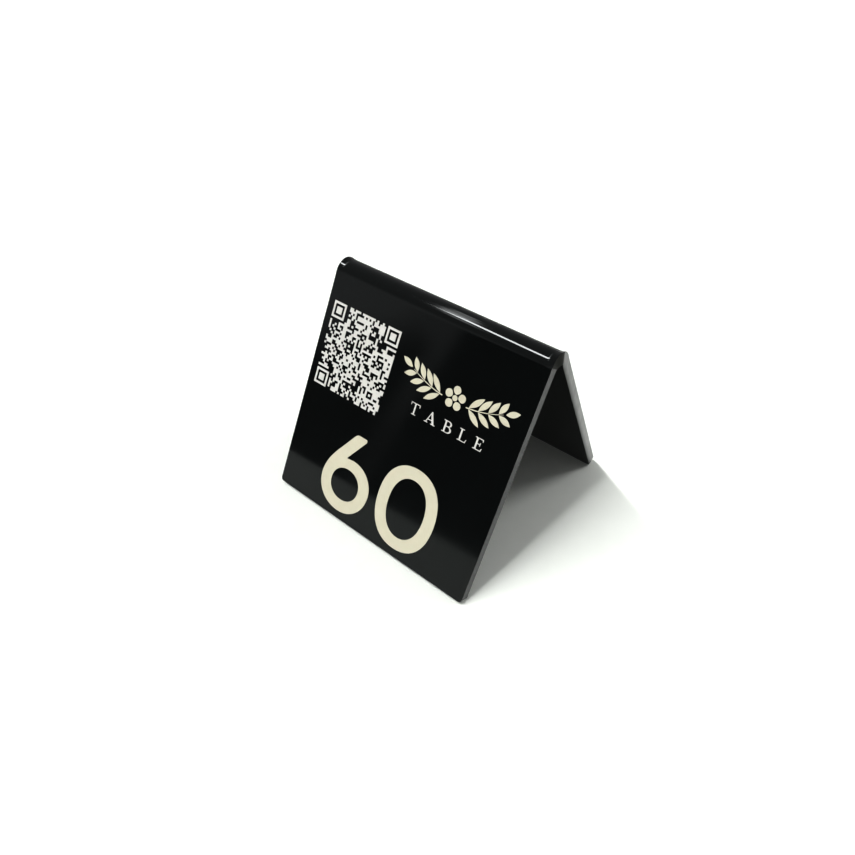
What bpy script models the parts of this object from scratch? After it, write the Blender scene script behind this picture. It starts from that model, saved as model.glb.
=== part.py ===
"""Table number holder: one acrylic sheet bent into a tent, with film graphics on its front face.

Units are metres, +X runs along the ridge, -Y is the front and +Z is up. The origin is on the
table, midway between the two feet. The films are placed in the front face's own frame, whose
origin is the middle of the front foot: x runs along the foot, y up the face and z out of it.
"""

import math

import bmesh
import bpy
from mathutils import Vector

MM = 0.001

# The blank and its bend
SHEET_WIDTH = 100 * MM
SHEET_LENGTH = 199 * MM
SHEET_THICKNESS = 4 * MM
CORNER_RADIUS = 1.5 * MM
EDGE_BREAK = 0.12 * MM
PANEL_LEAN = math.radians(28)
BEND_OUTER_RADIUS = 6.2 * MM
NEUTRAL_DEPTH = 0.45 * SHEET_THICKNESS
BEND_STEPS = 28
CORNER_STEPS = 6

# The bend's ends, where the heated sheet curls outwards at its outer face and swells at its inner
LIP_LENGTH = 3.2 * MM
LIP_SPREAD = 3.4 * MM
LIP_RISE_LEFT = 0.65 * MM
LIP_RISE_RIGHT = 0.85 * MM
LIP_SHARPNESS = 1.7
END_SWELL = 0.9 * MM
LIP_STEPS = 8

HALF_BEND = math.pi / 2 - PANEL_LEAN
NEUTRAL_RADIUS = BEND_OUTER_RADIUS - NEUTRAL_DEPTH
HALF_ARC = NEUTRAL_RADIUS * HALF_BEND
PANEL_LENGTH = SHEET_LENGTH / 2 - HALF_ARC
FOOT_DROP = (SHEET_THICKNESS - EDGE_BREAK) * math.sin(PANEL_LEAN)
BEND_CENTRE_HEIGHT = (
    FOOT_DROP + PANEL_LENGTH * math.cos(PANEL_LEAN) - BEND_OUTER_RADIUS * math.sin(PANEL_LEAN)
)
FOOT_Y = PANEL_LENGTH * math.sin(PANEL_LEAN) + BEND_OUTER_RADIUS * math.cos(PANEL_LEAN)

# The films
FILM_THICKNESS = 0.1 * MM
ADHESIVE_GAP = 0.05 * MM
CURVE_STEPS = 12

CODE_LEFT = -46.6 * MM
CODE_BOTTOM = 49.1 * MM
CODE_SIDE = 35.3 * MM
CODE_CELLS = 37
FINDER_CELLS = 7
EYE_CELLS = 3

EMBLEM_CENTRE = Vector((19.2, 70.9)) * MM
BLOSSOM_RADIUS = 4.7 * MM
PETALS = 5
STEM_START = 5.4 * MM
STEM_REACH = 20.8 * MM
STEM_SAG = 3.0 * MM
STEM_HALF_WIDTH = 0.24 * MM
LEAF_PAIRS = 4
LEAF_LENGTH = 7.6 * MM
LEAF_TAPER = 1.8 * MM
LEAF_WIDTH = 2.3 * MM
LEAF_SPREAD = math.radians(42)
LEAF_GAP = 0.42 * MM

WORD_LEFT = 2.3 * MM
WORD_BASELINE = 57.3 * MM
WORD_WIDTH = 33.9 * MM
CAP_HEIGHT = 4.7 * MM
SERIF = 0.07

BLACK = (0.004, 0.004, 0.005)
CREAM = (0.80, 0.75, 0.60)
WHITE = (0.85, 0.85, 0.80)


def clear_scene():
    for obj in list(bpy.data.objects):
        bpy.data.objects.remove(obj, do_unlink=True)


def make_material(name, colour, roughness):
    material = bpy.data.materials.new(name)
    material.use_nodes = True
    shader = material.node_tree.nodes["Principled BSDF"]
    shader.inputs["Base Color"].default_value = (*colour, 1)
    shader.inputs["Roughness"].default_value = roughness
    shader.inputs["Metallic"].default_value = 0
    return material


def add_object(name, data, collection, colour, roughness):
    obj = bpy.data.objects.new(name, data)
    obj.data.materials.append(make_material(name, colour, roughness))
    collection.objects.link(obj)
    return obj


# The bent sheet


def spaced(start, end, steps):
    return [start + (end - start) * i / steps for i in range(steps + 1)]


def length_stations():
    """Distances along the blank from its middle: close together at the bend and round the corners."""
    bend = spaced(0, HALF_ARC, BEND_STEPS // 2)
    blend = [HALF_ARC + LIP_SPREAD * share for share in (0.15, 0.35, 0.6, 1.0, 1.6)]
    flat = [0.5 * SHEET_LENGTH / 2]
    end = SHEET_LENGTH / 2 - CORNER_RADIUS
    turns = spaced(0, math.pi / 2, CORNER_STEPS)
    corner = [end + CORNER_RADIUS * math.sin(turn) for turn in turns]
    half = bend + blend + flat + corner
    return [-s for s in reversed(half[1:])] + half


def width_stations():
    """Distances across the blank: close together at the lips."""
    half = [0.0, 0.3 * SHEET_WIDTH]
    half += spaced(SHEET_WIDTH / 2 - LIP_LENGTH, SHEET_WIDTH / 2, LIP_STEPS)
    return [-x for x in reversed(half[1:])] + half


def half_width(s):
    """Half the blank's width at a distance s from its middle, less where a corner is rounded."""
    past = max(0.0, abs(s) - (SHEET_LENGTH / 2 - CORNER_RADIUS))
    return SHEET_WIDTH / 2 - CORNER_RADIUS + math.sqrt(max(0.0, CORNER_RADIUS**2 - past**2))


def lip(x, s):
    """How far a point has curled, from 0 over most of the sheet to 1 at the ends of the bend."""
    along = max(0.0, (abs(x) - SHEET_WIDTH / 2 + LIP_LENGTH) / LIP_LENGTH)
    return along**LIP_SHARPNESS * math.exp(-((s / LIP_SPREAD) ** 2))


def bent(x, s, depth):
    """The point at x across the blank and s along it, with depth 0 at the outer face and 1 at the inner."""
    turn = max(-HALF_BEND, min(HALF_BEND, s / NEUTRAL_RADIUS))
    past = math.copysign(max(0.0, abs(s) - HALF_ARC), s)
    outward = Vector((0, math.sin(turn), math.cos(turn)))
    onward = Vector((0, math.cos(turn), -math.sin(turn)))
    curl = lip(x, s)
    rise = curl * (LIP_RISE_LEFT if x < 0 else LIP_RISE_RIGHT) * (1 - depth / 2)
    radius = BEND_OUTER_RADIUS - depth * SHEET_THICKNESS + rise
    across = x * half_width(s) / (SHEET_WIDTH / 2) + math.copysign(curl * depth * END_SWELL, x)
    return Vector((across, 0, BEND_CENTRE_HEIGHT)) + outward * radius + onward * past


def bent_solid():
    """The blank's outer and inner faces as two grids, folded over the ridge and joined round the rim."""
    across, along = width_stations(), length_stations()
    columns, rows = len(across), len(along)
    mesh = bpy.data.meshes.new("bent_sheet")
    bm = bmesh.new()
    outer, inner = (
        [bm.verts.new(bent(x, s, depth)) for s in along for x in across] for depth in (0, 1)
    )
    for row in range(rows - 1):
        for column in range(columns - 1):
            low = row * columns + column
            cell = (low, low + 1, low + columns + 1, low + columns)
            bm.faces.new([outer[i] for i in cell])
            bm.faces.new([inner[i] for i in reversed(cell)])
    rim = list(range(columns))
    rim += [row * columns + columns - 1 for row in range(1, rows)]
    rim += [(rows - 1) * columns + column for column in range(columns - 2, -1, -1)]
    rim += [row * columns for row in range(rows - 2, 0, -1)]
    for here, after in zip(rim, rim[1:] + rim[:1]):
        bm.faces.new((outer[here], inner[here], inner[after], outer[after]))
    bmesh.ops.recalc_face_normals(bm, faces=bm.faces)
    bm.to_mesh(mesh)
    bm.free()
    return mesh


def build_sheet(collection):
    sheet = add_object("bent_sheet", bent_solid(), collection, BLACK, 0.06)
    edges = sheet.modifiers.new("Broken edges", "BEVEL")
    edges.width = EDGE_BREAK
    edges.segments = 1
    edges.limit_method = "ANGLE"
    edges.angle_limit = math.radians(50)
    for face in sheet.data.polygons:
        face.use_smooth = True
    return sheet


# Film outlines: each knot is (point, handle before, handle after)


def knot(x, y, heading, before, after):
    """A smooth knot, its handles lying along the heading in degrees."""
    turn = math.radians(heading)
    way = Vector((math.cos(turn), math.sin(turn)))
    point = Vector((x, y))
    return point, point - way * before, point + way * after


def corner(x, y):
    point = Vector((x, y))
    return point, point, point


def oval(x, y, across, up, fullness=0.5523):
    """Four knots round an oval. A fullness over 0.5523 makes it squarer than an ellipse."""
    wide, tall = across * fullness, up * fullness
    return [
        knot(x + across, y, 90, tall, tall),
        knot(x, y + up, 180, wide, wide),
        knot(x - across, y, 270, tall, tall),
        knot(x, y - up, 0, wide, wide),
    ]


def polygon(points):
    return [corner(x, y) for x, y in points]


def rectangle(left, bottom, width, height):
    right, top = left + width, bottom + height
    return polygon([(left, bottom), (right, bottom), (right, top), (left, top)])


def place_knot(bezier, found, scale):
    point, before, after = found
    bezier.handle_left_type = bezier.handle_right_type = "FREE"
    bezier.co = (*point * scale, 0)
    bezier.handle_left = (*before * scale, 0)
    bezier.handle_right = (*after * scale, 0)


def add_film(name, outlines, face, colour, at=(0, 0), turn=0.0, scale=1.0):
    """A piece of film with these outlines, laid on the front face at a place and an angle."""
    curve = bpy.data.curves.new(name, "CURVE")
    curve.dimensions = "2D"
    curve.fill_mode = "BOTH"
    curve.extrude = FILM_THICKNESS / 2
    curve.resolution_u = CURVE_STEPS
    for outline in outlines:
        spline = curve.splines.new("BEZIER")
        spline.bezier_points.add(len(outline) - 1)
        for bezier, found in zip(spline.bezier_points, outline):
            place_knot(bezier, found, scale)
        straight = all(before == point == after for point, before, after in outline)
        spline.resolution_u = 1 if straight else CURVE_STEPS
        spline.use_cyclic_u = True
    film = add_object(name, curve, face.users_collection[0], colour, 0.5)
    film.parent = face
    film.location = (*at, ADHESIVE_GAP + FILM_THICKNESS / 2)
    film.rotation_euler.z = turn
    return film


# The number


def build_six(face):
    bowl_x, bowl_y = -16.5, 15.1
    outer = [
        knot(-29.3, bowl_y, 270, 4.5, 6.9),
        knot(bowl_x, 3.15, 0, 7.5, 7.4),
        knot(-3.75, 16.0, 90, 7.2, 6.2),
        knot(-15.2, 26.9, 180, 6.5, 1.6),
        corner(-19.1, 26.45),
        knot(-11.9, 36.75, 55, 0, 0.5),
        knot(-12.4, 38.15, 180, 0.7, 0),
        knot(-16.0, 38.15, 180, 0, 0.9),
        knot(-18.15, 36.8, 235, 0.9, 0),
        knot(-24.3, 28.0, 235, 0, 5.0),
    ]
    inner = oval(bowl_x, 15.35, 7.35, 6.95, 0.58)
    add_film("digit_six", [outer, inner], face, CREAM, scale=MM)


def build_zero(face):
    outer = oval(14.55, 21.0, 14.25, 17.8, 0.63)
    inner = oval(14.6, 21.05, 8.85, 12.75, 0.61)
    add_film("digit_zero", [outer, inner], face, CREAM, scale=MM)


# The scan code


def finder_places():
    last = CODE_CELLS - FINDER_CELLS
    return [(0, last), (last, last), (0, 0)]


def build_code(face):
    """Three framed corner squares, and one plain film where the small cells are."""
    cell = CODE_SIDE / CODE_CELLS
    origin = (CODE_LEFT, CODE_BOTTOM)
    eye = (FINDER_CELLS - EYE_CELLS) / 2
    for number, (x, y) in enumerate(finder_places(), start=1):
        ring = [
            rectangle(x, y, FINDER_CELLS, FINDER_CELLS),
            rectangle(x + 1, y + 1, FINDER_CELLS - 2, FINDER_CELLS - 2),
        ]
        add_film(f"code_ring_{number}", ring, face, WHITE, origin, scale=cell)
        square = [rectangle(x + eye, y + eye, EYE_CELLS, EYE_CELLS)]
        add_film(f"code_eye_{number}", square, face, WHITE, origin, scale=cell)
    near, far, end = FINDER_CELLS + 1, CODE_CELLS - FINDER_CELLS - 1, CODE_CELLS
    field = polygon(
        [(near, 0), (end, 0), (end, far), (far, far), (far, end)]
        + [(near, end), (near, far), (0, far), (0, near), (near, near)]
    )
    add_film("code_field", [field], face, WHITE, origin, scale=cell)


# The emblem: a blossom between two leafy sprigs


def leaf_outline(length, width):
    """A pointed leaf from the origin along x."""
    rise = width / 2 / 0.75
    base, tip = Vector((0, 0)), Vector((length, 0))
    lower, upper = Vector((0.35 * length, -rise)), Vector((0.35 * length, rise))
    low_tip, high_tip = Vector((0.65 * length, -rise)), Vector((0.65 * length, rise))
    return [(base, upper, lower), (tip, low_tip, high_tip)]


def petal_outline(inner, outer, width):
    """A round-ended petal lying along x between two radii."""
    half = width / 2
    return [
        knot(inner, 0, -90, 0.3 * half, 0.3 * half),
        knot(outer - half, -half, 0, 0.5 * half, 0.55 * half),
        knot(outer, 0, 90, 0.55 * half, 0.55 * half),
        knot(outer - half, half, 180, 0.55 * half, 0.5 * half),
    ]


def build_blossom(face):
    heart = BLOSSOM_RADIUS * 0.24
    petal = petal_outline(heart + 0.3 * MM, BLOSSOM_RADIUS, BLOSSOM_RADIUS * 0.7)
    for number in range(PETALS):
        turn = math.pi / 2 + math.tau * number / PETALS
        name = f"blossom_petal_{number + 1}"
        add_film(name, [petal], face, CREAM, EMBLEM_CENTRE, turn)
    add_film("blossom_heart", [oval(0, 0, heart, heart)], face, CREAM, EMBLEM_CENTRE)


def sprig_point(share, side):
    """A point on a sprig's stem, which sags from the blossom and rises to its tip."""
    along = STEM_START + (STEM_REACH - STEM_START) * share
    return EMBLEM_CENTRE + Vector((side * along, STEM_SAG * share**2 - 1.2 * MM * (1 - share)))


def sprig_heading(share, side):
    ahead, behind = sprig_point(share + 0.01, side), sprig_point(share - 0.01, side)
    way = ahead - behind
    return math.atan2(way.y, way.x)


def stem_outline(side):
    """The stem's two sides, narrowing to the tip."""
    sides = {1: [], -1: []}
    for share in spaced(0, 0.97, 10):
        heading = sprig_heading(share, side)
        across = Vector((-math.sin(heading), math.cos(heading)))
        for way, points in sides.items():
            reach = STEM_HALF_WIDTH * (1 - 0.6 * share)
            points.append(sprig_point(share, side) + across * way * reach)
    return polygon(sides[-1] + sides[1][::-1])


def add_leaf(name, face, share, side, spread, length):
    turn = sprig_heading(share, side) + spread
    away = Vector((math.cos(turn), math.sin(turn)))
    at = sprig_point(share, side) + away * LEAF_GAP
    add_film(name, [leaf_outline(length, LEAF_WIDTH)], face, CREAM, at, turn)


def build_sprig(face, word, side):
    add_film(f"sprig_stem_{word}", [stem_outline(side)], face, CREAM)
    for pair in range(LEAF_PAIRS):
        share = 0.06 + 0.78 * pair / (LEAF_PAIRS - 1)
        length = LEAF_LENGTH - LEAF_TAPER * pair / (LEAF_PAIRS - 1)
        add_leaf(f"leaf_{word}_upper_{pair + 1}", face, share, side, side * LEAF_SPREAD, length)
        add_leaf(f"leaf_{word}_lower_{pair + 1}", face, share, side, -side * LEAF_SPREAD, length)
    add_leaf(f"leaf_{word}_tip", face, 1.0, side, 0.0, LEAF_LENGTH - LEAF_TAPER)


# The word, in capitals one unit high


def letter_t():
    left, right = 0.385, 0.535
    outline = [(0.24, 0), (0.68, 0), (0.68, SERIF), (right, SERIF), (right, 1 - SERIF)]
    outline += [(0.84, 1 - SERIF), (0.87, 0.74), (0.92, 0.74), (0.92, 1), (0, 1)]
    outline += [(0, 0.74), (0.05, 0.74), (0.08, 1 - SERIF), (left, 1 - SERIF)]
    outline += [(left, SERIF), (0.24, SERIF)]
    return [polygon(outline)]


def letter_a():
    outline = [(0, 0), (0.36, 0), (0.36, SERIF), (0.24, SERIF), (0.315, 0.28), (0.69, 0.28)]
    outline += [(0.77, SERIF), (0.66, SERIF), (0.66, 0), (1.1, 0), (1.1, SERIF), (0.98, SERIF)]
    outline += [(0.6, 1.03), (0.52, 1.03), (0.14, SERIF), (0, SERIF)]
    counter = [(0.345, 0.36), (0.5, 0.79), (0.66, 0.36)]
    return [polygon(outline), polygon(counter)]


def letter_b():
    left, right = 0.14, 0.3
    outline = [
        corner(0, 0),
        knot(0.5, 0, 0, 0, 0.22),
        knot(0.88, 0.27, 90, 0.15, 0.14),
        knot(0.56, 0.54, 180, 0.16, 0),
        knot(0.56, 0.54, 0, 0, 0.14),
        knot(0.8, 0.77, 90, 0.12, 0.13),
        knot(0.46, 1, 180, 0.2, 0),
    ]
    outline += polygon([(0, 1), (0, 1 - SERIF), (left, 1 - SERIF), (left, SERIF), (0, SERIF)])
    low = [corner(right, SERIF), knot(0.46, SERIF, 0, 0, 0.16), knot(0.71, 0.28, 90, 0.11, 0.12)]
    low += [knot(0.46, 0.5, 180, 0.14, 0), corner(right, 0.5)]
    high = [corner(right, 0.57), knot(0.44, 0.57, 0, 0, 0.12), knot(0.64, 0.75, 90, 0.09, 0.1)]
    high += [knot(0.43, 1 - SERIF, 180, 0.12, 0), corner(right, 1 - SERIF)]
    return [outline, low, high]


def letter_l():
    left, right = 0.14, 0.3
    outline = [(0, 0), (0.78, 0), (0.83, 0.29), (0.77, 0.29), (0.69, SERIF), (right, SERIF)]
    outline += [(right, 1 - SERIF), (0.44, 1 - SERIF), (0.44, 1), (0, 1), (0, 1 - SERIF)]
    outline += [(left, 1 - SERIF), (left, SERIF), (0, SERIF)]
    return [polygon(outline)]


def letter_e():
    left, right = 0.14, 0.3
    outline = [(0, 0), (0.77, 0), (0.81, 0.27), (0.75, 0.27), (0.68, SERIF), (right, SERIF)]
    outline += [(right, 0.48), (0.51, 0.48), (0.53, 0.36), (0.59, 0.36), (0.59, 0.67)]
    outline += [(0.53, 0.67), (0.51, 0.55), (right, 0.55), (right, 1 - SERIF)]
    outline += [(0.66, 1 - SERIF), (0.71, 0.77), (0.76, 0.77), (0.75, 1), (0, 1)]
    outline += [(0, 1 - SERIF), (left, 1 - SERIF), (left, SERIF), (0, SERIF)]
    return [polygon(outline)]


def build_word(face):
    """TABLE, spaced evenly over the width of the word."""
    letters = {"t": letter_t, "a": letter_a, "b": letter_b, "l": letter_l, "e": letter_e}
    widths = {"t": 0.92, "a": 1.1, "b": 0.88, "l": 0.83, "e": 0.81}
    space = (WORD_WIDTH - CAP_HEIGHT * sum(widths.values())) / (len(letters) - 1)
    left = WORD_LEFT
    for letter, outlines in letters.items():
        at = (left, WORD_BASELINE)
        add_film(f"letter_{letter}", outlines(), face, WHITE, at, scale=CAP_HEIGHT)
        left += CAP_HEIGHT * widths[letter] + space


def add_front_face(collection):
    """An empty in the plane of the front face, at the middle of its foot."""
    face = bpy.data.objects.new("front_face_frame", None)
    face.location = (0, -FOOT_Y, FOOT_DROP)
    face.rotation_euler.x = math.pi / 2 - PANEL_LEAN
    collection.objects.link(face)
    return face


def main():
    clear_scene()
    collection = bpy.data.collections.new("table_number_holder")
    bpy.context.scene.collection.children.link(collection)
    build_sheet(collection)
    face = add_front_face(collection)
    build_six(face)
    build_zero(face)
    build_code(face)
    build_blossom(face)
    build_sprig(face, "left", -1)
    build_sprig(face, "right", 1)
    build_word(face)
    bpy.context.view_layer.update()


main()
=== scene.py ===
"""Looks for the table number holder: a black acrylic tent with film graphics on its front face.

Metres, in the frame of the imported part: +X along the ridge, -Y the front, +Z up, the table at z = 0.
"""

import math
import random

import bmesh
import bpy
from mathutils import Matrix, Quaternion, Vector


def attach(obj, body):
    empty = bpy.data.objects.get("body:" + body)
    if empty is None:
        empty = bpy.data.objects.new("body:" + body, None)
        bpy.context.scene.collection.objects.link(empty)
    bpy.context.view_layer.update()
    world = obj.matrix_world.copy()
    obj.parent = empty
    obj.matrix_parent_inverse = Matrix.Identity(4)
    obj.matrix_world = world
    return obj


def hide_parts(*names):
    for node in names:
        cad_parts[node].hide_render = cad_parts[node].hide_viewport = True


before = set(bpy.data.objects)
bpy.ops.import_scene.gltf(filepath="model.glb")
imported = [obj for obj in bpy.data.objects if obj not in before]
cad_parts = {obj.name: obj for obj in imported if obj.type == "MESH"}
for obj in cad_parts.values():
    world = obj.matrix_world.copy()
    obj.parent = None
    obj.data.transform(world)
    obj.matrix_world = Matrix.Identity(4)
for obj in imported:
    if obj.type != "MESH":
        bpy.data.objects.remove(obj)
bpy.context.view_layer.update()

MM = 0.001

# The sheet, as the part has it
SHEET_WIDTH = 100 * MM
SHEET_LENGTH = 199 * MM
SHEET_THICKNESS = 4 * MM
CORNER_RADIUS = 1.5 * MM
EDGE_BREAK = 0.12 * MM
PANEL_LEAN = math.radians(28)
BEND_OUTER_RADIUS = 6.2 * MM
NEUTRAL_DEPTH = 0.45 * SHEET_THICKNESS

# The bend's ends, where the heated sheet curls outwards at its outer face and swells at its inner
LIP_LENGTH = 3.2 * MM
LIP_SPREAD = 3.4 * MM
LIP_RISE_LEFT = 0.65 * MM
LIP_RISE_RIGHT = 0.85 * MM
LIP_SHARPNESS = 1.7
END_SWELL = 0.9 * MM

# Where the heat has darkened the cut edge, along the blank from its middle
DARK_FROM = -4.1 * MM
DARK_TO = 1.4 * MM

# The sheet's material slots. Slot 0 is the polished one
SAWN_SLOT = 1
HEATED_SLOT = 2

# How finely the sheet is meshed
BEND_STEPS = 30
BLEND_REACH = 2.0 * LIP_SPREAD
BLEND_STEPS = 16
CORNER_STEPS = 10
MIDDLE_STEPS = 6
LIP_STEPS = 20

HALF_BEND = math.pi / 2 - PANEL_LEAN
NEUTRAL_RADIUS = BEND_OUTER_RADIUS - NEUTRAL_DEPTH
HALF_ARC = NEUTRAL_RADIUS * HALF_BEND
PANEL_LENGTH = SHEET_LENGTH / 2 - HALF_ARC
FOOT_DROP = (SHEET_THICKNESS - EDGE_BREAK) * math.sin(PANEL_LEAN)
BEND_CENTRE_HEIGHT = (
    FOOT_DROP + PANEL_LENGTH * math.cos(PANEL_LEAN) - BEND_OUTER_RADIUS * math.sin(PANEL_LEAN)
)
FOOT_Y = PANEL_LENGTH * math.sin(PANEL_LEAN) + BEND_OUTER_RADIUS * math.cos(PANEL_LEAN)
RIDGE_HEIGHT = BEND_CENTRE_HEIGHT + BEND_OUTER_RADIUS

# Where the heat has dulled the polish: just behind the ridge, on the top of the bend
DULL_FROM_Y, DULL_TO_Y = 0.8 * MM, 3.4 * MM
DULL_FROM_Z, DULL_TO_Z = BEND_CENTRE_HEIGHT + 2 * MM, BEND_CENTRE_HEIGHT + 4 * MM
DULL_ROUGHNESS = 0.65

# The front face's own frame: x along the foot, y up the face, z out of it
FACE = Matrix.Translation((0, -FOOT_Y, FOOT_DROP)) @ Matrix.Rotation(math.pi / 2 - PANEL_LEAN, 4, "X")
FILM_THICKNESS = 0.1 * MM
ADHESIVE_GAP = 0.05 * MM

# The films' colours: light, dark and fleck
CREAM = (0.625, 0.602, 0.49), (0.60, 0.573, 0.455), (0.62, 0.583, 0.475)
WHITE = (0.655, 0.647, 0.62), (0.62, 0.612, 0.58), (0.635, 0.622, 0.61)

# The scan code's place on the front face, and its pattern
CODE_LEFT = -46.6 * MM
CODE_BOTTOM = 49.1 * MM
CODE_SIDE = 35.3 * MM
CODE_CELLS = 37
FINDER_CELLS = 7
SMALL_SQUARE_CENTRE = (CODE_CELLS - 7, 6)
CELL_CHANCE = 0.555
ROW_GAP = 0.01 * MM
CODE_SEED = 60

# The camera
CAMERA_PLACE = Vector((133.70, -171.35, 227.09)) * MM
CAMERA_TARGET = Vector((4.63, -14.63, 39.94)) * MM
CAMERA_ROLL = math.radians(0.136)
LENS_MM = 29.24
SENSOR_MM = 36.0

# The lights hang this far above a point on the ridge, and are placed by slope: metres sideways for
# each metre up
LIGHT_DISTANCE = 10.0
LIGHTS_ABOVE = Vector((20 * MM, 0, RIDGE_HEIGHT))

# The key strip's parts lie between these slopes to the left, and each has its own radiance
KEY_STOPS = (0.07, 0.12, 0.29, 0.50, 0.74)
KEY_RADIANCES = (440, 158, 92, 50)
KEY_WIDTH = 0.05

# The floor's size, the slant of its left end, and where that end crosses the X axis, all in metres
FLOOR_SIZE = 6.0
FLOOR_SLANT = math.atan(0.345)
FLOOR_LEFT = -0.396

# The room is plain grey, and dimmer on the right. Low in front it is dark, and light on the left. The
# last is what the camera sees past the floor. The floor itself is about 1.
ROOM_GREY = 0.5
RIGHT_GREY = 0.3
FRONT_DARK = 0.16
FRONT_LIGHT = 0.84
SEEN_WHITE = 1.2

# Where the right part and the front part fade out, as parts of a direction of length 1
RIGHT_X_FROM, RIGHT_X_TO = 0.0, 0.35
RIGHT_Z_FROM, RIGHT_Z_TO = 0.8, 0.9
FRONT_Y_FROM, FRONT_Y_TO = -0.30, -0.15

# From here on the angles are in degrees, and azimuths run from the front round to the left.
# The front part fades out upwards between these heights.
FRONT_TOP_FROM, FRONT_TOP_TO = 20, 33
# Its light left begins beyond two lines, each a slant, an azimuth on the horizon and a softness.
LEFT_EDGES = ((2.04, 53.8, 5.0), (0.49, 38.75, 2.4))
# A fainter upright bar stands beside that, from one azimuth to another, each with a softness.
BAR_FROM, BAR_FROM_SOFT = 29.9, 0.3
BAR_TO, BAR_TO_SOFT = 31.6, 0.6
# It brightens between two heights, and above a third it widens, by so much for each degree up.
BAR_LOW, BAR_LOW_LEVEL = 2, 0.22
BAR_HIGH, BAR_HIGH_LEVEL = 13, 0.72
BAR_WIDENS_ABOVE = 11.0
BAR_WIDENING = 1.8


# Shader helpers


class Nodes:
    """The node tree of a material or a world, with short calls for what they need below."""

    def __init__(self, owner):
        owner.use_nodes = True
        self.owner = owner
        self.tree = owner.node_tree
        self.shader = self.tree.nodes.get("Principled BSDF")

    def add(self, kind, **settings):
        node = self.tree.nodes.new(kind)
        for key, value in settings.items():
            setattr(node, key, value)
        return node

    def put(self, socket, value):
        """Sets a socket's value, or links a socket to it."""
        if isinstance(value, bpy.types.NodeSocket):
            self.tree.links.new(value, socket)
        else:
            socket.default_value = value

    def object_place(self):
        return self.add("ShaderNodeTexCoord").outputs["Object"]

    def split(self, vector):
        """A vector's x, y and z."""
        node = self.add("ShaderNodeSeparateXYZ")
        self.put(node.inputs[0], vector)
        return node.outputs

    def noise(self, vector, scale, detail=3.0, roughness=0.55, distortion=0.0, stretch=None):
        """A noise's value at a place, whose axes can be scaled first."""
        if stretch is not None:
            mapping = self.add("ShaderNodeMapping")
            self.put(mapping.inputs["Vector"], vector)
            mapping.inputs["Scale"].default_value = stretch
            vector = mapping.outputs["Vector"]
        node = self.add("ShaderNodeTexNoise")
        self.put(node.inputs["Vector"], vector)
        node.inputs["Scale"].default_value = scale
        node.inputs["Detail"].default_value = detail
        node.inputs["Roughness"].default_value = roughness
        node.inputs["Distortion"].default_value = distortion
        return node.outputs["Fac"]

    def ramp(self, value, stops):
        """A colour ramp with stops of (position, colour or grey)."""
        node = self.add("ShaderNodeValToRGB")
        elements = node.color_ramp.elements
        while len(elements) < len(stops):
            elements.new(0.5)
        for element, (position, colour) in zip(elements, stops):
            element.position = position
            element.color = (colour,) * 3 + (1,) if isinstance(colour, float) else (*colour, 1)
        self.put(node.inputs["Fac"], value)
        return node.outputs["Color"]

    def maths(self, operation, a, b=0.0):
        node = self.add("ShaderNodeMath", operation=operation)
        self.put(node.inputs[0], a)
        self.put(node.inputs[1], b)
        return node.outputs[0]

    def remap(self, value, low, high, new_low=0.0, new_high=1.0):
        """Changes evenly from one new value to another between low and high, and stays there beyond."""
        node = self.add("ShaderNodeMapRange", clamp=True)
        self.put(node.inputs["Value"], value)
        node.inputs["From Min"].default_value = low
        node.inputs["From Max"].default_value = high
        node.inputs["To Min"].default_value = new_low
        node.inputs["To Max"].default_value = new_high
        return node.outputs["Result"]

    def edge(self, angle, degrees, soft, before=0.0, beyond=1.0):
        """Changes from one value to another across an angle, over that many degrees on each side."""
        low, high = math.radians(degrees - soft), math.radians(degrees + soft)
        return self.remap(angle, low, high, before, beyond)

    def mix(self, factor, a, b, blend="MIX"):
        node = self.add("ShaderNodeMix", data_type="RGBA", blend_type=blend)
        self.put(node.inputs[0], factor)
        self.put(node.inputs[6], a)
        self.put(node.inputs[7], b)
        return node.outputs[2]

    def bump(self, height, strength, distance):
        node = self.add("ShaderNodeBump")
        self.put(node.inputs["Height"], height)
        node.inputs["Strength"].default_value = strength
        node.inputs["Distance"].default_value = distance
        return node.outputs["Normal"]


def opaque(r, g, b):
    return (r, g, b, 1.0)


def polished_acrylic():
    """Deep black cast acrylic: mirror gloss with faint wipe marks and a very slight ripple, but dull on
    the back of the bend, where it was heated."""
    n = Nodes(bpy.data.materials.new("polished_black_acrylic"))
    place = n.object_place()
    cloud = n.noise(place, 9, detail=2)
    shades = [(0.3, (0.0014, 0.0022, 0.0022)), (0.7, (0.0022, 0.0034, 0.0034))]
    n.put(n.shader.inputs["Base Color"], n.ramp(cloud, shades))
    wipes = n.noise(place, 30, detail=4, roughness=0.6, distortion=0.6, stretch=(0.35, 1.6, 1.6))
    polish = n.remap(wipes, 0.35, 0.75, 0.05, 0.10)
    _, y, z = n.split(place)
    behind = n.remap(y, DULL_FROM_Y, DULL_TO_Y, 0.0, DULL_ROUGHNESS)
    heated = n.maths("MULTIPLY", behind, n.remap(z, DULL_FROM_Z, DULL_TO_Z))
    n.put(n.shader.inputs["Roughness"], n.maths("ADD", polish, heated))
    n.shader.inputs["IOR"].default_value = 1.49
    n.shader.inputs["Specular IOR Level"].default_value = 0.43
    n.shader.inputs["Specular Tint"].default_value = opaque(0.97, 1.0, 1.0)
    ripple = n.noise(place, 16, detail=1)
    n.put(n.shader.inputs["Normal"], n.bump(ripple, strength=0.1, distance=0.5 * MM))
    return n.owner


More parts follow.
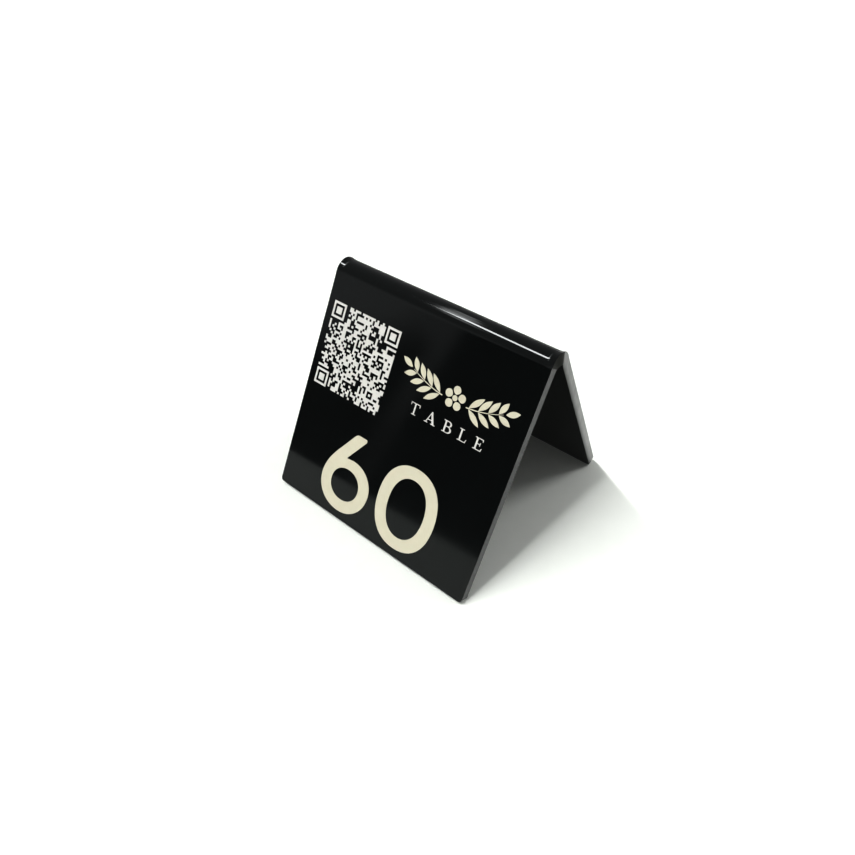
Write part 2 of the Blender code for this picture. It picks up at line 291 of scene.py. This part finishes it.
def sheet_depth(n, y, z):
    """How deep a point lies in the flat panels, from 0 at their outer faces to 1 at their inner."""
    side = n.maths("MULTIPLY", n.maths("ABSOLUTE", y), math.cos(PANEL_LEAN))
    rise = n.maths("MULTIPLY", z, math.sin(PANEL_LEAN))
    outer = FOOT_Y * math.cos(PANEL_LEAN) + FOOT_DROP * math.sin(PANEL_LEAN)
    deep = n.maths("SUBTRACT", outer, n.maths("ADD", side, rise))
    return n.maths("DIVIDE", deep, SHEET_THICKNESS)


def sawn_acrylic():
    """The cut edges: matte grey from the saw, with fine streaks. The back one is painted lighter than the
    front, as painted light for the extra light it catches, and both are painted darker towards the inner
    face, as painted shade.
    """
    n = Nodes(bpy.data.materials.new("sawn_acrylic_edge"))
    place = n.object_place()
    _, y, z = n.split(place)
    depth = sheet_depth(n, y, z)
    # Painted shade: both edges darken towards the inner face. Painted light: the back edge is made much
    # lighter than the front.
    front = n.ramp(depth, [(0.0, 0.08), (0.1, 0.095), (0.9, 0.085), (1.0, 0.05)])
    back = n.ramp(depth, [(0.0, 0.36), (0.5, 0.34), (0.8, 0.17), (1.0, 0.03)])
    # Painted light and shade by height on the back edge: darker at its foot, lightest a quarter of the way
    # up, and darker again from seven tenths of the way up
    height = n.maths("DIVIDE", z, RIDGE_HEIGHT)
    painted_light_by_height_stops = [(0.0, 0.72), (0.08, 1.0), (0.25, 1.1), (0.5, 1.0), (0.7, 0.84), (0.9, 0.84)]
    back = n.mix(1.0, back, n.ramp(height, painted_light_by_height_stops), "MULTIPLY")
    band = n.mix(n.remap(y, -SHEET_THICKNESS, SHEET_THICKNESS), front, back)
    streaks = n.noise(place, 900, roughness=0.7, stretch=(1.0, 1.0, 0.06))
    blotches = n.noise(place, 120)
    marked = n.mix(1.0, band, n.ramp(streaks, [(0.3, 0.75), (0.7, 1.2)]), "MULTIPLY")
    marked = n.mix(1.0, marked, n.ramp(blotches, [(0.3, 0.85), (0.7, 1.15)]), "MULTIPLY")
    n.put(n.shader.inputs["Base Color"], marked)
    n.put(n.shader.inputs["Roughness"], n.remap(streaks, 0.3, 0.7, 0.38, 0.46))
    n.shader.inputs["IOR"].default_value = 1.49
    n.put(n.shader.inputs["Normal"], n.bump(streaks, strength=0.35, distance=0.08 * MM))
    return n.owner


def heated_acrylic():
    """The cut edge round the bend, darkened and softened by the heat."""
    n = Nodes(bpy.data.materials.new("heated_acrylic_edge"))
    place = n.object_place()
    cloud = n.noise(place, 300, detail=2)
    shades = [(0.3, (0.010, 0.011, 0.008)), (0.7, (0.018, 0.019, 0.015))]
    n.put(n.shader.inputs["Base Color"], n.ramp(cloud, shades))
    n.put(n.shader.inputs["Roughness"], n.remap(cloud, 0.3, 0.7, 0.34, 0.42))
    n.shader.inputs["IOR"].default_value = 1.49
    n.shader.inputs["Specular IOR Level"].default_value = 0.1
    n.put(n.shader.inputs["Normal"], n.bump(cloud, strength=0.15, distance=0.1 * MM))
    return n.owner


def film(name, light, dark, fleck):
    """Satin cut vinyl: even colour with a faint mottle and a fine calendered grain."""
    n = Nodes(bpy.data.materials.new(name))
    place = n.object_place()
    mottle = n.noise(place, 260, detail=4, roughness=0.6)
    drift = n.noise(place, 45, detail=2)
    base = n.mix(n.remap(mottle, 0.3, 0.7), opaque(*dark), opaque(*light))
    tinted = n.mix(n.remap(drift, 0.45, 0.75, 0.0, 0.35), base, opaque(*fleck))
    n.put(n.shader.inputs["Base Color"], tinted)
    grain = n.noise(place, 2600, roughness=0.6)
    n.put(n.shader.inputs["Roughness"], n.remap(grain, 0.3, 0.7, 0.42, 0.58))
    n.shader.inputs["IOR"].default_value = 1.5
    n.put(n.shader.inputs["Normal"], n.bump(grain, strength=0.15, distance=0.03 * MM))
    return n.owner


# The sheet


def spaced(start, end, steps):
    return [start + (end - start) * i / steps for i in range(steps + 1)]


def length_stations():
    """Distances along the blank from its middle: close together at the bend and round the corners."""
    bend = spaced(0, HALF_ARC, BEND_STEPS)
    blend = spaced(HALF_ARC, HALF_ARC + BLEND_REACH, BLEND_STEPS)[1:]
    flat = [share * SHEET_LENGTH / 2 for share in (0.4, 0.7)]
    end = SHEET_LENGTH / 2 - CORNER_RADIUS
    corner = [end + CORNER_RADIUS * math.sin(turn) for turn in spaced(0, math.pi / 2, CORNER_STEPS)]
    half = bend + blend + flat + corner
    return [-s for s in reversed(half[1:])] + half


def width_stations():
    """Distances across the blank: close together at the lips."""
    half = spaced(0, SHEET_WIDTH / 2 - LIP_LENGTH, MIDDLE_STEPS)
    half += spaced(SHEET_WIDTH / 2 - LIP_LENGTH, SHEET_WIDTH / 2, LIP_STEPS)[1:]
    return [-x for x in reversed(half[1:])] + half


def half_width(s):
    """Half the blank's width at a distance s from its middle, less where a corner is rounded."""
    past = max(0.0, abs(s) - (SHEET_LENGTH / 2 - CORNER_RADIUS))
    return SHEET_WIDTH / 2 - CORNER_RADIUS + math.sqrt(max(0.0, CORNER_RADIUS**2 - past**2))


def lip(x, s):
    """How far a point has curled, from 0 over most of the sheet to 1 at the ends of the bend."""
    along = max(0.0, (abs(x) - SHEET_WIDTH / 2 + LIP_LENGTH) / LIP_LENGTH)
    return along**LIP_SHARPNESS * math.exp(-((s / LIP_SPREAD) ** 2))


def bent(x, s, depth):
    """The point at x across the blank and s along it. Depth is 0 at the outer face and 1 at the inner."""
    turn = max(-HALF_BEND, min(HALF_BEND, s / NEUTRAL_RADIUS))
    past = math.copysign(max(0.0, abs(s) - HALF_ARC), s)
    outward = Vector((0, math.sin(turn), math.cos(turn)))
    onward = Vector((0, math.cos(turn), -math.sin(turn)))
    curl = lip(x, s)
    rise = curl * (LIP_RISE_LEFT if x < 0 else LIP_RISE_RIGHT) * (1 - depth / 2)
    radius = BEND_OUTER_RADIUS - depth * SHEET_THICKNESS + rise
    across = x * half_width(s) / (SHEET_WIDTH / 2) + math.copysign(curl * depth * END_SWELL, x)
    return Vector((across, 0, BEND_CENTRE_HEIGHT)) + outward * radius + onward * past


def add_piece(name, mesh, materials, slot, *replaced):
    """A visible piece on the one body, with its materials, in place of the CAD nodes named last."""
    piece = bpy.data.objects.new(name, mesh)
    bpy.context.scene.collection.objects.link(piece)
    for material in materials:
        mesh.materials.append(material)
    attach(piece, "root")
    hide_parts(*replaced)
    return piece


def bent_solid():
    """The blank's outer and inner faces as two grids, folded over the ridge and joined by sawn edges."""
    across, along = width_stations(), length_stations()
    columns, rows = len(across), len(along)
    mesh = bpy.data.meshes.new("acrylic_sheet")
    bm = bmesh.new()
    outer, inner = (
        [bm.verts.new(bent(x, s, depth)) for s in along for x in across] for depth in (0, 1)
    )
    for row in range(rows - 1):
        for column in range(columns - 1):
            low = row * columns + column
            cell = (low, low + 1, low + columns + 1, low + columns)
            bm.faces.new([outer[i] for i in cell])
            bm.faces.new([inner[i] for i in reversed(cell)])
    rim = list(range(columns))
    rim += [row * columns + columns - 1 for row in range(1, rows)]
    rim += [(rows - 1) * columns + column for column in range(columns - 2, -1, -1)]
    rim += [row * columns for row in range(rows - 2, 0, -1)]
    for here, after in zip(rim, rim[1:] + rim[:1]):
        edge = bm.faces.new((outer[here], inner[here], inner[after], outer[after]))
        middle = (along[here // columns] + along[after // columns]) / 2
        edge.material_index = HEATED_SLOT if DARK_FROM < middle < DARK_TO else SAWN_SLOT
    bmesh.ops.recalc_face_normals(bm, faces=bm.faces)
    for face in bm.faces:
        face.smooth = True
    bm.to_mesh(mesh)
    bm.free()
    return mesh


def build_sheet(polished, sawn, heated):
    """The bent sheet, with polished faces, sawn edges, and dark edges round the bend."""
    materials = (polished, sawn, heated)
    sheet = add_piece("acrylic_sheet", bent_solid(), materials, "black_acrylic", "bent_sheet")
    edges = sheet.modifiers.new("Broken edges", "BEVEL")
    edges.width = EDGE_BREAK
    edges.segments = 2
    edges.limit_method = "ANGLE"
    edges.angle_limit = math.radians(50)
    edges.harden_normals = True


# The scan code's small cells


def in_finder(column, row):
    """Whether a cell lies in one of the three corner squares or the gap round it."""
    reach = FINDER_CELLS + 1
    left, right = column < reach, column >= CODE_CELLS - reach
    low, high = row < reach, row >= CODE_CELLS - reach
    return (left and low) or (left and high) or (right and high)


def code_pattern():
    """A made-up pattern: seeded random cells, with one small framed square near a corner."""
    chance = random.Random(CODE_SEED)
    cells = {
        (column, row): chance.random() < CELL_CHANCE
        for row in range(CODE_CELLS)
        for column in range(CODE_CELLS)
    }
    centre_column, centre_row = SMALL_SQUARE_CENTRE
    for column in range(-2, 3):
        for row in range(-2, 3):
            ring = max(abs(column), abs(row))
            cells[centre_column + column, centre_row + row] = ring != 1
    return {place for place, filled in cells.items() if filled and not in_finder(*place)}


def add_strip(bm, left, right, bottom, top):
    """A strip of film that stands just off the sheet, in the front face's own frame."""
    size = (right - left, top - bottom, FILM_THICKNESS)
    middle = ((left + right) / 2, (bottom + top) / 2, ADHESIVE_GAP + FILM_THICKNESS / 2)
    place = Matrix.Translation(middle) @ Matrix.Diagonal((*size, 1))
    bmesh.ops.create_cube(bm, size=1, matrix=place)


def build_code(material):
    """The cells as thin film. Cells side by side are one strip, a hair apart from those in the next row."""
    cell = CODE_SIDE / CODE_CELLS
    filled = code_pattern()
    mesh = bpy.data.meshes.new("code_cells")
    bm = bmesh.new()
    for row in range(CODE_CELLS):
        column = 0
        while column < CODE_CELLS:
            start = column
            while (column, row) in filled:
                column += 1
            if column > start:
                add_strip(bm, start * cell, column * cell, row * cell, (row + 1) * cell - ROW_GAP)
            column += 1
    bm.to_mesh(mesh)
    bm.free()
    mesh.transform(FACE @ Matrix.Translation((CODE_LEFT, CODE_BOTTOM, 0)))
    add_piece("code_cells", mesh, (material,), "white_film", "code_field")


# Stage


def add_camera():
    data = bpy.data.cameras.new("camera")
    data.lens = LENS_MM
    data.sensor_width = SENSOR_MM
    data.clip_start = 0.01
    camera = bpy.data.objects.new("camera", data)
    bpy.context.scene.collection.objects.link(camera)
    camera.location = CAMERA_PLACE
    camera.rotation_mode = "QUATERNION"
    aim = (CAMERA_TARGET - CAMERA_PLACE).to_track_quat("-Z", "Y")
    camera.rotation_quaternion = aim @ Quaternion((0, 0, 1), CAMERA_ROLL)
    bpy.context.scene.camera = camera


def add_light(name, start, end, width, radiance, glossy=False):
    """A flat strip that faces straight down, from one slope to another. It either lights surfaces or,
    when glossy, is only seen in them."""
    start, end = Vector(start), Vector(end)
    way = end - start
    data = bpy.data.lights.new(name, "AREA")
    data.shape = "RECTANGLE"
    data.size = way.length * LIGHT_DISTANCE
    data.size_y = width * LIGHT_DISTANCE
    data.energy = radiance * math.pi * data.size * data.size_y
    light = bpy.data.objects.new(name, data)
    bpy.context.scene.collection.objects.link(light)
    light.location = Vector((*(start + end) / 2, 1)) * LIGHT_DISTANCE + LIGHTS_ABOVE
    light.rotation_euler.z = math.atan2(way.y, way.x)
    light.visible_camera = False
    light.visible_glossy = glossy
    light.visible_diffuse = not glossy


def key_slope(side):
    """Where the key strip is at a slope to the left: it runs from in front of the sign out to its left."""
    return -side, 0.5 * side - 0.53


def add_key():
    """The light that casts the shadow: a thin slanting strip, strongest at its front end."""
    for number, radiance in enumerate(KEY_RADIANCES):
        start, end = key_slope(KEY_STOPS[number]), key_slope(KEY_STOPS[number + 1])
        add_light(f"key_{number + 1}", start, end, KEY_WIDTH, radiance)


def add_rim():
    """A soft light from behind on the right, which shines in under the tent through its open end."""
    add_light("rim", (0.37, 0.9), (0.87, 0.9), width=0.3, radiance=23)


def add_reflected_lights():
    """Lights that only reflections see. The bend mirrors a long strip as its bright line, and a glow and
    three dimmer patches as the smear at the line's left end. The windows are for the plain faces, seen
    from other sides."""
    reflected = (
        ("line", (-0.590, -0.066), (-0.21, -0.33), 0.155, 25),
        ("glow", (-0.608, 0.06), (-0.545, 0.06), 0.15, 8.5),
        ("patch_near", (-0.576, 0.13), (-0.597, 0.36), 0.078, 4.2),
        ("patch_far", (-0.600, 0.37), (-0.680, 0.72), 0.054, 3.5),
        ("patch_in_front", (-0.640, -0.32), (-0.566, -0.32), 0.26, 3.9),
        ("window_behind", (0.1, 1.8), (5.0, 1.8), 1.3, 0.9),
        ("window_in_front", (-0.2, -1.5), (1.8, -1.5), 0.9, 1.0),
    )
    for name, start, end, width, radiance in reflected:
        add_light(name, start, end, width, radiance, glossy=True)


def add_floor():
    """A square sheet of white paper. It ends about 0.4 m to the sign's left, along a slant."""
    n = Nodes(bpy.data.materials.new("white_paper"))
    place = n.object_place()
    fibres = n.noise(place, 700)
    tints = [(0.3, (0.78, 0.802, 0.768)), (0.7, (0.795, 0.817, 0.783))]
    n.put(n.shader.inputs["Base Color"], n.ramp(fibres, tints))
    n.shader.inputs["Roughness"].default_value = 0.9
    n.shader.inputs["Specular IOR Level"].default_value = 0.2
    mesh = bpy.data.meshes.new("paper_floor")
    bm = bmesh.new()
    bmesh.ops.create_grid(bm, x_segments=1, y_segments=1, size=0.5)
    bm.to_mesh(mesh)
    bm.free()
    floor = bpy.data.objects.new("paper_floor", mesh)
    bpy.context.scene.collection.objects.link(floor)
    mesh.materials.append(n.owner)
    floor.scale = (FLOOR_SIZE, FLOOR_SIZE, 1)
    floor.rotation_euler.z = FLOOR_SLANT
    across = Vector((math.cos(FLOOR_SLANT), math.sin(FLOOR_SLANT), 0))
    floor.location = Vector((FLOOR_LEFT, 0, 0)).project(across) + across * FLOOR_SIZE / 2


def light_left_part(n, azimuth, height):
    """1 beyond both slanting lines to the front left, and 0 short of either."""
    beyond = 1.0
    for slant, start, soft in LEFT_EDGES:
        slanted = n.maths("ADD", azimuth, n.maths("MULTIPLY", height, slant))
        beyond = n.maths("MULTIPLY", n.edge(slanted, start, soft), beyond)
    return beyond


def faint_bar(n, azimuth, height):
    """How strong the upright bar is: it brightens upwards, and its far side moves away."""
    above = n.maths("MAXIMUM", n.maths("SUBTRACT", height, math.radians(BAR_WIDENS_ABOVE)), 0.0)
    far_side = n.maths("SUBTRACT", azimuth, n.maths("MULTIPLY", above, BAR_WIDENING))
    bar = n.maths(
        "MULTIPLY",
        n.edge(azimuth, BAR_FROM, BAR_FROM_SOFT),
        n.edge(far_side, BAR_TO, BAR_TO_SOFT, 1.0, 0.0),
    )
    low, high = math.radians(BAR_LOW), math.radians(BAR_HIGH)
    return n.maths("MULTIPLY", bar, n.remap(height, low, high, BAR_LOW_LEVEL, BAR_HIGH_LEVEL))


def room_colour(n):
    """A grey room: dimmer on the right, dark low in front, and light low to the front left."""
    x, y, z = n.split(n.add("ShaderNodeTexCoord").outputs["Generated"])
    azimuth = n.maths("ARCTAN2", n.maths("MULTIPLY", x, -1.0), n.maths("MULTIPLY", y, -1.0))
    height = n.maths("ARCSINE", z)
    lit = n.maths("MAXIMUM", light_left_part(n, azimuth, height), faint_bar(n, azimuth, height))
    front = n.remap(lit, 0.0, 1.0, FRONT_DARK, FRONT_LIGHT)
    top_from, top_to = math.radians(FRONT_TOP_FROM), math.radians(FRONT_TOP_TO)
    low = n.remap(height, top_from, top_to, 1.0, 0.0)
    forward = n.remap(y, FRONT_Y_FROM, FRONT_Y_TO, 1.0, 0.0)
    room = n.mix(n.maths("MULTIPLY", low, forward), opaque(*(ROOM_GREY,) * 3), front)
    below_top = n.remap(z, RIGHT_Z_FROM, RIGHT_Z_TO, 1.0, 0.0)
    right = n.maths("MULTIPLY", n.remap(x, RIGHT_X_FROM, RIGHT_X_TO), below_top)
    return n.mix(right, room, opaque(*(RIGHT_GREY,) * 3))


def set_world():
    """White where the camera sees it, and the grey room for everything else."""
    n = Nodes(bpy.data.worlds.new("room"))
    bpy.context.scene.world = n.owner
    n.tree.nodes.clear()
    around = n.add("ShaderNodeBackground")
    n.put(around.inputs["Color"], room_colour(n))
    seen = n.add("ShaderNodeBackground")
    seen.inputs["Color"].default_value = opaque(1, 1, 1)
    seen.inputs["Strength"].default_value = SEEN_WHITE
    pick = n.add("ShaderNodeMixShader")
    n.put(pick.inputs["Fac"], n.add("ShaderNodeLightPath").outputs["Is Camera Ray"])
    n.put(pick.inputs[1], around.outputs["Background"])
    n.put(pick.inputs[2], seen.outputs["Background"])
    n.put(n.add("ShaderNodeOutputWorld").inputs["Surface"], pick.outputs["Shader"])


def set_stage():
    add_camera()
    add_floor()
    set_world()
    add_key()
    add_rim()
    add_reflected_lights()
    view = bpy.context.scene.view_settings
    view.view_transform = "Standard"
    view.gamma = 0.75


def main():
    cream = film("cream_film", *CREAM)
    white = film("white_film", *WHITE)
    build_sheet(polished_acrylic(), sawn_acrylic(), heated_acrylic())
    build_code(white)
    for name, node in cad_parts.items():
        if name in ("bent_sheet", "code_field"):
            continue
        for slot in node.material_slots:
            slot.material = white if name.startswith(("code_", "letter_")) else cream
    set_stage()


main()
